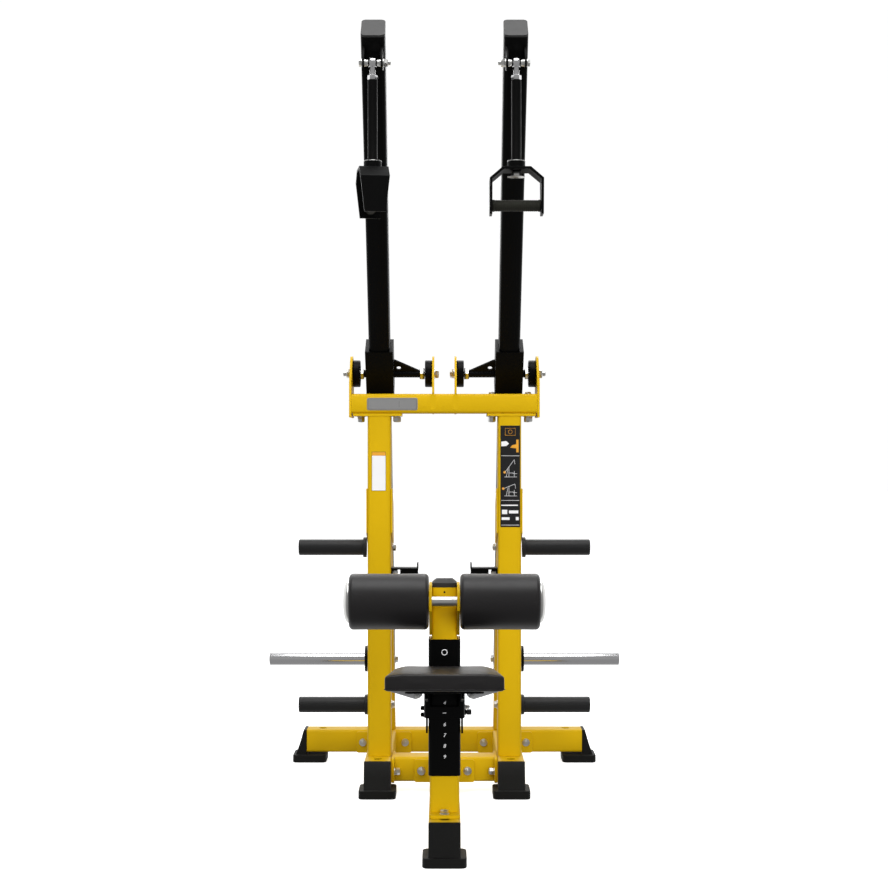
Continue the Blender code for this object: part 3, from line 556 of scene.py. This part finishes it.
def hex_nut(across, height, bore=0.0):
    """Hexagon with chamfered corners, standing on Z = 0, solid or round a bore."""
    r = across / math.sqrt(3.0)
    rows = [(0.0, r * 0.94), (height * 0.10, r), (height * 0.84, r), (height, r * 0.86)]
    if bore:
        return turned([(0.0, bore)] + rows + [(height, bore)], 6, ring=True)
    return turned(rows, 6)


def bolt_shape(point, direction, across, height, washer):
    """Washer, hexagon and the bolt's end above it, standing on a face."""
    place = pointing(point, direction)
    ring = turned([(0.0, 0.0), (0.0, washer)] + arc(0.0015, washer - 0.0006, 0.0006, 90, 0, 3)
                  + [(0.0021, 0.0)], 36)
    head = moved(hex_nut(across, height), Matrix.Translation((0, 0, 0.0022)) @ Matrix.Rotation(0.3, 4, "Z"))
    crown = turned([(0.002 + height, 0.0), (0.002 + height, across * 0.30), (0.0030 + height, across * 0.24),
                    (0.0033 + height, 0.0)], 24)
    return [moved(ring, place), moved(head, place), moved(crown, place)]


def bolts(name, spots, body, across=0.0165, height=0.0070, washer=0.0115, slot="zinc_steel", mat=None):
    shapes = []
    for point, direction in spots:
        shapes += bolt_shape(point, direction, across, height, washer)
    return add_piece(name, joined(shapes), slot, body, mat)


def build_rail_bolts():
    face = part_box("center_rail")[1].y - FLANGE
    spots = [((x, face, RAIL_Z), (0, -1, 0)) for x in (-FLANGE_BOLT_X, FLANGE_BOLT_X)]
    bolts("center_flange_bolts", spots, "frame", 0.019, 0.008, 0.0125)

    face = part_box("front_crossbar")[1].x - FLANGE
    middle = middle_of("front_crossbar")[0]
    spots = [((sign * face, middle + dy, RAIL_Z), (-sign, 0, 0)) for sign in (-1, 1)
             for dy in (-0.054, 0.054)]
    bolts("crossbar_end_bolts", spots, "frame", 0.018, 0.0145, 0.0110)

    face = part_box("right_side_rail")[1].y - FLANGE
    spots = [((sign * RAIL_X + dx, face, RAIL_Z), (0, -1, 0)) for sign in (-1, 1)
             for dx in (-FLANGE_BOLT_X, FLANGE_BOLT_X)]
    bolts("rear_flange_bolts", spots, "frame", 0.019, 0.008, 0.0125)


def build_beam_bolts():
    """Nuts under the uprights' top flanges, and the two heads that stand up on the right."""
    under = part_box("right_upright")[1].z - 0.0077
    middle = middle_of("right_upright")[0]
    spots = []
    for side, sign in SIDES:
        for x in TOP_BOLTS_X:
            if side == "right" or x == TOP_BOLTS_X[0]:
                spots.append(((sign * x, middle - 0.030, under), (0, 0, -1)))
            spots.append(((sign * x, middle + 0.030, under), (0, 0, -1)))
    above = [((x, middle + 0.004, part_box("top_crossbeam")[1].z), (0, 0, 1)) for x in TOP_BOLTS_X]
    bolts("beam_flange_bolts", spots, "frame", 0.0200, 0.0150, 0.0125)
    bolts("beam_top_bolts", above, "frame", 0.0165, 0.0045, 0.0110)


def build_arm_bolts(side, sign):
    low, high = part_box(side + "_pivot_shaft")
    x_out = max(abs(low.x), abs(high.x))
    x_in = min(abs(low.x), abs(high.x))
    y, z = JOINTS[side + "_arm_pivot"]["pos_m"][1:]
    spots = [((sign * (x_out - 0.0045), y, z), (sign, 0, 0)), ((sign * (x_in + 0.0035), y, z), (-sign, 0, 0))]
    bolts(side + "_pivot_nuts", spots, side + "_arm_body", 0.0240, 0.0105, 0.0160)
    stud = moved(turned([(0.0, 0.0), (0.0, 0.0080), (0.0090, 0.0080), (0.0105, 0.0065), (0.0105, 0.0)], 32),
                 pointing((sign * (x_out + 0.0075), y, z), (sign, 0, 0)))
    add_piece(side + "_pivot_stud", stud, "zinc_steel", side + "_arm_body")

    x, y, z = JOINTS[side + "_hanger_swing"]["pos_m"]
    pin = turned([(-EAR_OUT - 0.0205, 0.0), (-EAR_OUT - 0.0205, 0.0048), (-EAR_OUT - 0.0190, BOLT_R),
                  (EAR_OUT, BOLT_R), (EAR_OUT, 0.0)], 32)
    shapes = [moved(pin, pointing((x, y, z), (sign, 0, 0)))]
    shapes += bolt_shape((x + sign * EAR_OUT, y, z), (sign, 0, 0), 0.0180, 0.0060, 0.0105)
    shapes += bolt_shape((x - sign * EAR_OUT, y, z), (-sign, 0, 0), 0.0185, 0.0110, 0.0110)
    add_piece(side + "_clevis_bolt_set", joined(shapes), "zinc_steel", side + "_arm_body",
              replaces=[side + "_clevis_bolt"])

    horn = (sign * HORN_BOLT_X, *middle_of(side + "_weight_horn"))
    bolts(side + "_horn_bolt", [(horn, (-sign, 0, 0))], side + "_arm_body", 0.024, 0.009, 0.0180)


def build_upright_bolts(side, sign):
    """Bolts of the storage horns and the stop bracket, on the upright's inner side."""
    inward = (-sign, 0, 0)
    spots = [((sign * (UPRIGHT_INNER - depth), *middle_of(side + "_" + level + "_storage_horn")), inward)
             for level, depth in (("upper", 0.0043), ("lower", 0.0))]
    bolts(side + "_storage_bolts", spots, "frame", 0.0190, 0.0080, 0.0130)
    nut = (sign * (UPRIGHT_INNER - 0.0053), middle_of(side + "_stop_bracket")[0] - 0.012, 0.6550)
    bolts(side + "_bracket_nut", [(nut, inward)], "frame", 0.0150, 0.0120, 0.0085)


def build_column_bolts():
    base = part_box("seat_column")[0].z + FLANGE
    middle = middle_of("seat_column")[0]
    spots = [((0.0, middle + dy, base), (0, 0, 1)) for dy in (-0.055, 0.055)]
    bolts("column_base_bolts", spots, "frame", 0.0190, 0.0085, 0.0125)
    spots = [((-CARRIAGE_HALF, middle, z), (-1, 0, 0)) for z in (0.3536, 0.3705)]
    bolts("carriage_side_bolts", spots, "seat", 0.0105, 0.0065, 0.0065, "black_paint")
    spots = [((CARRIAGE_HALF, middle - 0.012, 0.3760), (1, 0, 0))]
    bolts("carriage_pin_bolt", spots, "seat", 0.0100, 0.0100, 0.0062)


def build_fasteners():
    build_rail_bolts()
    build_beam_bolts()
    for side, sign in SIDES:
        build_arm_bolts(side, sign)
        build_upright_bolts(side, sign)
    build_column_bolts()


# ---- upholstery ----

def settle(obj, cap, voxel):
    """Inflate a pad a little with cloth pressure, hold every point within the cap, and keep the result."""
    bpy.context.view_layer.objects.active = obj
    remesh = obj.modifiers.new("remesh", "REMESH")
    remesh.mode = "VOXEL"
    remesh.voxel_size = voxel
    graph = bpy.context.evaluated_depsgraph_get()
    obj.data = bpy.data.meshes.new_from_object(obj.evaluated_get(graph))
    obj.modifiers.clear()
    before = [v.co.copy() for v in obj.data.vertices]
    cloth = obj.modifiers.new("cloth", "CLOTH")
    cloth.settings.quality = 5
    cloth.settings.use_pressure = True
    cloth.settings.uniform_pressure_force = 4.0
    cloth.settings.effector_weights.gravity = 0.0
    cloth.point_cache.frame_start = 1
    cloth.point_cache.frame_end = 20
    for number in range(1, 21):
        bpy.context.scene.frame_set(number)
    graph = bpy.context.evaluated_depsgraph_get()
    result = bpy.data.meshes.new_from_object(obj.evaluated_get(graph))
    obj.modifiers.clear()
    obj.data = result
    for vertex, start in zip(result.vertices, before):
        step = vertex.co - start
        if step.length > cap:
            vertex.co = start + step.normalized() * cap
    bpy.context.scene.frame_set(1)
    smooth = obj.modifiers.new("relax", "CORRECTIVE_SMOOTH")
    smooth.iterations = 3
    smooth.use_only_smooth = True
    extra = obj.modifiers.new("fine", "SUBSURF")
    extra.levels = 1
    extra.render_levels = 1


def build_seat_pad():
    """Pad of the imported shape, its edges rounded and drawn by the cover, with piping along the bottom."""
    pad = finish_piece("seat_cushion", cleaned_copy("seat_pad"), "vinyl", "seat", bevel=0.0026, segments=3,
                       angle=6.0, replaces=["seat_pad"])
    pad.modifiers["edges"].angle_limit = math.radians(2.5)
    graph = bpy.context.evaluated_depsgraph_get()
    pad.data = bpy.data.meshes.new_from_object(pad.evaluated_get(graph))
    pad.modifiers.clear()
    settle(pad, 0.0010, 0.0035)

    edge = Matrix.Translation((0.0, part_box("seat_pad")[0].y + 0.0024, SEAT_EDGE_Z))
    place = edge @ Matrix.Rotation(SEAT_TILT, 4, "X")
    outline = [(-0.1425, 0.008), (-0.104, 0.0), (0.104, 0.0), (0.1425, 0.008), (0.127, 0.250), (0.100, 0.280),
               (-0.100, 0.280), (-0.127, 0.250)]
    curve = bpy.data.curves.new("seat_piping", "CURVE")
    curve.dimensions = "3D"
    curve.bevel_depth = 0.0010
    curve.bevel_resolution = 3
    spline = curve.splines.new("POLY")
    spline.points.add(len(outline) - 1)
    for point, (x, y) in zip(spline.points, outline):
        point.co = (*(place @ Vector((x, y, -0.0355))), 1.0)
    spline.use_cyclic_u = True
    piping = bpy.data.objects.new("seat_piping", curve)
    bpy.context.scene.collection.objects.link(piping)
    curve.materials.append(FINISHES["vinyl"])
    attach(piping, "seat")


def build_rollers():
    """Foam rollers in a drawn vinyl cover: soft shoulders and a faint waist between the end seams."""
    for side, sign in SIDES:
        node = side + "_thigh_roller"
        place, length, r = axis_place(node, sign)
        bore = 0.0128
        edge = 0.011
        profile = [(0.0035, bore), (0.0025, 0.020), (0.0, 0.034), (0.0, r - edge)]
        profile += [(edge * (1 - math.cos(a)), r - edge * (1 - math.sin(a)))
                    for a in [math.radians(d) for d in range(10, 90, 10)]]
        steps = 14
        for i in range(steps + 1):
            t = i / steps
            along = edge + (length - 2 * edge) * t
            profile.append((along, r - 0.0006 * math.sin(math.pi * t)))
        profile += [(length - edge * (1 - math.cos(a)), r - edge * (1 - math.sin(a)))
                    for a in [math.radians(d) for d in range(80, 0, -10)]]
        profile += [(length, r - edge), (length, 0.034), (length - 0.0025, 0.020), (length - 0.0035, bore)]
        roller = add_piece(side + "_roller_cover", moved(turned(profile, 96, ring=True), place), "vinyl",
                           side + "_roller", angle=60.0, replaces=[node])
        seams = []
        for along in (0.0042, length - 0.0042):
            seam = turned([(along - 0.0009, r - 0.0052)] + arc(along, r - 0.0047, 0.0010, 180, 0, 5)
                          + [(along + 0.0009, r - 0.0052)], 96, ring=True)
            seams.append(moved(seam, place))
        add_piece(side + "_roller_seams", joined(seams), "vinyl", side + "_roller")


def build_grips():
    """Rubber sleeves with a smooth band at each end and ribs between."""
    for side, _ in SIDES:
        joint = JOINTS[side + "_grip_spin"]
        half = 0.0625
        r = 0.015
        profile = [(-half, 0.0088), (-half, r), (-half + 0.001, r + 0.0006), (-half + 0.005, r + 0.0006),
                   (-half + 0.0065, r - 0.0006)]
        ribs = 22
        span = 2 * (half - 0.0080)
        pitch = span / ribs
        for i in range(ribs):
            start = -half + 0.0080 + span * i / ribs
            profile += [(start, r - 0.0009), (start + pitch * 0.2, r - 0.0001),
                        (start + pitch * 0.7, r - 0.0001), (start + pitch * 0.9, r - 0.0009)]
        profile += [(half - 0.0065, r - 0.0006), (half - 0.005, r + 0.0006), (half - 0.001, r + 0.0006),
                    (half, r), (half, 0.0088)]
        place = pointing(joint["pos_m"], joint["axis"])
        add_piece(side + "_ribbed_grip", moved(turned(profile, 48, ring=True), place), "grip_rubber",
                  side + "_grip_body", angle=40.0, replaces=[side + "_grip"])


# ---- seat fittings and trim ----

def on_front(outline, y, thickness):
    """Plate with an (X, Z) outline that stands out from the face at y toward -Y."""
    verts, faces = prism(outline, 0.0, thickness)
    return [Vector((v.x, y - v.z, v.y)) for v in verts], faces


def build_seat_wings():
    """Grey gusset plates under the pad, from its sides down to the carriage, each with its bolt."""
    half = 0.0015
    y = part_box("seat_pad")[0].y + 0.075
    outline = [(0.1285, 0.4520), (0.1285, 0.4500), (0.0900, 0.4380), (0.0700, 0.4320), (0.0600, 0.4350),
               (0.0530, 0.4420), (0.0530, 0.4520)]
    wings = [on_front([(sign * x, z) for x, z in outline], y + half, 2 * half) for sign in (-1, 1)]
    add_piece("seat_wing_plates", joined(wings), "zinc_steel", "seat", EXTRA["grey_plate"], bevel=0.0004)
    spots = [((sign * 0.0660, y - half, 0.4395), (0, -1, 0)) for sign in (-1, 1)]
    bolts("seat_wing_bolts", spots, "seat", 0.0085, 0.0040, 0.0055)
    sleeve_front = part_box("column_sleeve")[0].y
    heads = [((sign * CARRIAGE_HALF, sleeve_front + 0.016, 0.4240), (sign, 0, 0)) for sign in (-1, 1)]
    bolts("carriage_top_bolts", heads, "seat", 0.0095, 0.0045, 0.0060, "black_paint")


def flat_on_front(name, spot, size, y, thickness, mat, radius, slot="cap_plastic", body="frame"):
    """Thin rectangle with round corners on a face that looks toward -Y."""
    shape = on_front(rounded(*size, radius, 4, spot), y, thickness)
    add_piece(name, shape, slot, body, mat, bevel=min(0.0003, thickness * 0.3))


def drawn_lines(name, lines, y, mat, width):
    """Raised line drawing on a face that looks toward -Y. Each line is a list of (X, Z) points."""
    curve = bpy.data.curves.new(name, "CURVE")
    curve.dimensions = "3D"
    curve.bevel_depth = width
    curve.bevel_resolution = 1
    curve.use_fill_caps = True
    for line in lines:
        spline = curve.splines.new("POLY")
        spline.points.add(len(line) - 1)
        for point, (x, z) in zip(spline.points, line):
            point.co = (x, y, z, 1.0)
    obj = bpy.data.objects.new(name, curve)
    bpy.context.scene.collection.objects.link(obj)
    curve.materials.append(mat)
    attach(obj, "frame")


def closed_circle(radius, count, centre):
    """Circle that ends on its first point."""
    points = circle(radius, count, centre)
    return points + points[:1]


def machine_drawing(x, z, arm_tip, horn):
    """Side view of a plate-loaded machine, 38 mm wide, as lines."""
    base = [(x - 0.018, z), (x + 0.020, z)]
    back = [(x - 0.012, z), (x - 0.007, z + 0.024)]
    post = [(x - 0.004, z), (x - 0.004, z + 0.030)]
    tie = [(x - 0.004, z + 0.012), (x + 0.010, z + 0.012)]
    seat = [(x + 0.008, z + 0.010), (x + 0.020, z + 0.010)]
    column = [(x + 0.012, z), (x + 0.012, z + 0.018)]
    arm = [(x + horn[0], z + horn[1]), (x + arm_tip[0], z + arm_tip[1])]
    cord = [(x + arm_tip[0], z + arm_tip[1]), (x + arm_tip[0] + 0.002, z + arm_tip[1] - 0.014)]
    return [base, back, post, tie, seat, column, arm, cord]


def build_badge():
    """Blank badge on the beam, and the rounded weld tabs of the inner pivot plates."""
    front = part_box("top_crossbeam")[0].y
    middle = middle_of("top_crossbeam")[1]
    z = middle - 0.0015
    thickness = 0.0016
    flat_on_front("badge_plate", (BADGE_X, z), (0.152, 0.037), front, thickness, EXTRA["badge_silver"], 0.005,
                  "zinc_steel")
    rim = rounded(0.146, 0.031, 0.0035, 5, (BADGE_X, z))
    drawn_lines("badge_rim", [rim + rim[:1]], front - thickness, EXTRA["label_black"], 0.0003)
    divider = [(BADGE_X + 0.0205, z - 0.009), (BADGE_X + 0.0205, z + 0.009)]
    drawn_lines("badge_divider", [divider], front - thickness, EXTRA["label_black"], 0.0003)
    for side, sign in SIDES:
        flat_on_front(side + "_plate_weld", (sign * 0.0340, middle + 0.0045), (0.0165, 0.0480), front, 0.0007,
                      FINISHES["yellow_paint"], 0.0080, "yellow_paint")


def build_sticker(front):
    """Blank white sticker with an amber strip along its top."""
    flat_on_front("blank_sticker_edge", (STICKER_X, 0.961), (0.0425, 0.1175), front, FILM,
                  EXTRA["label_black"], 0.001)
    flat_on_front("blank_sticker", (STICKER_X, 0.9555), (0.0405, 0.1045), front - FILM, FILM,
                  EXTRA["label_white"], 0.0006)
    flat_on_front("blank_sticker_strip", (STICKER_X, 1.0133), (0.0405, 0.0105), front - FILM, FILM,
                  EXTRA["label_amber"], 0.0006)


def build_placard(front):
    """Placard with plain symbols, two drawings of the machine in use, and blank bars in place of words."""
    x = PLACARD_X
    thickness = 0.0008
    face = front - thickness
    flat_on_front("placard", (x, 0.946), (0.0590, 0.3050), front, thickness, EXTRA["label_black"], 0.002)
    rules = [[(x - 0.027, z), (x + 0.027, z)] for z in (1.0075, 0.8735, 0.7995)]
    drawn_lines("placard_rules", rules, face, EXTRA["label_white"], 0.0007)
    border = [(x - 0.015, 1.0690), (x - 0.015, 1.0900), (x + 0.015, 1.0900), (x + 0.015, 1.0690),
              (x - 0.015, 1.0690)]
    icon = [border, closed_circle(0.006, 18, (x, 1.0795))]
    drawn_lines("placard_icon", icon, face, EXTRA["label_amber"], 0.0006)

    pointer = [(-0.027, 1.050), (-0.012, 1.052), (-0.004, 1.044), (-0.012, 1.037), (-0.027, 1.036)]
    seat_mark = [(0.000, 1.032), (0.006, 1.040), (0.018, 1.042), (0.018, 1.056), (0.025, 1.056),
                 (0.025, 1.018), (0.018, 1.018), (0.018, 1.030)]
    for name, outline, tone in (("pointer", pointer, "white"), ("seat_mark", seat_mark, "amber")):
        shape = on_front([(x + px, pz) for px, pz in outline], face, FILM)
        add_piece("placard_" + name, shape, "cap_plastic", "frame", EXTRA["label_" + tone])

    up = machine_drawing(x, 0.9440, (0.012, 0.052), (-0.016, 0.014))
    down = machine_drawing(x, 0.8870, (0.014, 0.036), (-0.020, 0.022))
    drawn_lines("placard_drawings", up + down, face, EXTRA["label_white"], 0.0006)
    dots = [on_front(circle(0.0038, 20, (x + dx, z)), face, 0.0004)
            for dx, z in ((-0.017, 0.958), (-0.021, 0.909))]
    add_piece("placard_dots", joined(dots), "cap_plastic", "frame", EXTRA["label_amber"])
    bars = [on_front(rounded(width, height, 0.0008, 2, (x + dx, z)), face, FILM) for dx, z, width, height in (
        (-0.002, 0.859, 0.050, 0.0035), (-0.017, 0.839, 0.016, 0.013), (0.010, 0.839, 0.028, 0.009),
        (-0.014, 0.819, 0.024, 0.008), (0.021, 0.819, 0.009, 0.010))]
    add_piece("placard_bars", joined(bars), "cap_plastic", "frame", EXTRA["label_white"])


def build_scale():
    """Seat position numbers down the sleeve's front, a ring near its top, and the carriage's pointer."""
    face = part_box("column_sleeve")[0].y - 0.0001
    for i, digit in enumerate(range(4, 10)):
        name = "seat_position_%d" % digit
        text = bpy.data.curves.new(name, "FONT")
        text.body = str(digit)
        text.size = 0.0128
        text.align_x = "CENTER"
        text.align_y = "CENTER"
        text.extrude = 0.0002
        text.offset = 0.0002
        text.shear = 0.2
        obj = bpy.data.objects.new(name, text)
        bpy.context.scene.collection.objects.link(obj)
        obj.location = (0.0, face, NUMBER_TOP - NUMBER_PITCH * i)
        obj.rotation_euler = (math.pi / 2, 0.0, 0.0)
        text.materials.append(EXTRA["label_white"])
        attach(obj, "frame")
    carriage_front = middle_of("column_sleeve")[0] - CARRIAGE_HALF
    flat_on_front("carriage_pointer", (0.0, 0.3662), (0.0085, 0.0018), carriage_front, FILM,
                  EXTRA["label_white"], 0.0006, body="seat")
    drawn_lines("sleeve_ring", [closed_circle(0.0068, 24, (0.0, RING_Z))], face, EXTRA["label_white"], 0.0012)


def build_post_plug():
    """Dark disc in the hole near the top of the post, painted shade that stands in for the shade inside the hole.
    """
    front = middle_of("seat_column")[0] - 0.032
    hole_shade_disc = moved(turned([(-0.001, 0.0), (-0.001, 0.0026), (0.0004, 0.0026), (0.0004, 0.0)], 24),
                 pointing((0.0, front, HOLE_SHADE_Z), (0, -1, 0)))
    add_piece("post_hole_shade_disc", hole_shade_disc, "cap_plastic", "frame", EXTRA["hole_shade_dark"])


def main():
    build_camera()
    build_world()
    build_lamps()
    build_floor()
    build_softened()
    build_horns()
    build_bearings()
    build_hangers()
    build_axle()
    build_pin()
    build_fasteners()
    build_rollers()
    build_grips()
    build_seat_pad()
    build_seat_wings()
    build_badge()
    upright_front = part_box("right_upright")[0].y + 0.002
    build_sticker(upright_front)
    build_placard(upright_front)
    build_scale()
    build_post_plug()


main()
